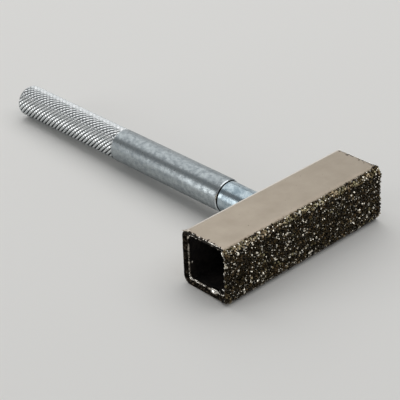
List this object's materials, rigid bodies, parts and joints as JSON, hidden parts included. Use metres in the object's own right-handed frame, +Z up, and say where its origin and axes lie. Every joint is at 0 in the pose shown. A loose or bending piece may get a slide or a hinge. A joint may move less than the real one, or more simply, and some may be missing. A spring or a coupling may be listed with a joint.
{
  "type": "diamond wheel dresser",
  "caption": "T-shaped hand dresser for grinding wheels: an open square tube with a diamond-grit face, riveted across a turned steel handle with a knurled grip.",
  "frame": {"origin": "middle of the flat under the head's square tube", "axes": "+X along the head, +Y along the handle from the head to the free end, +Z up; the grit faces -Y"},
  "size_m": [0.0458, 0.0915, 0.0127],
  "materials": {
    "nickel_plated_tube": "dull nickel plate",
    "diamond_grit": "coarse diamond grit in a bronze-brown nickel bond",
    "zinc_plated_steel": "bright zinc plate, blotched"
  },
  "bodies": {
    "root": {"head_tube": "nickel_plated_tube", "diamond_coating": "diamond_grit", "handle": "zinc_plated_steel"}
  },
  "joints": []
}
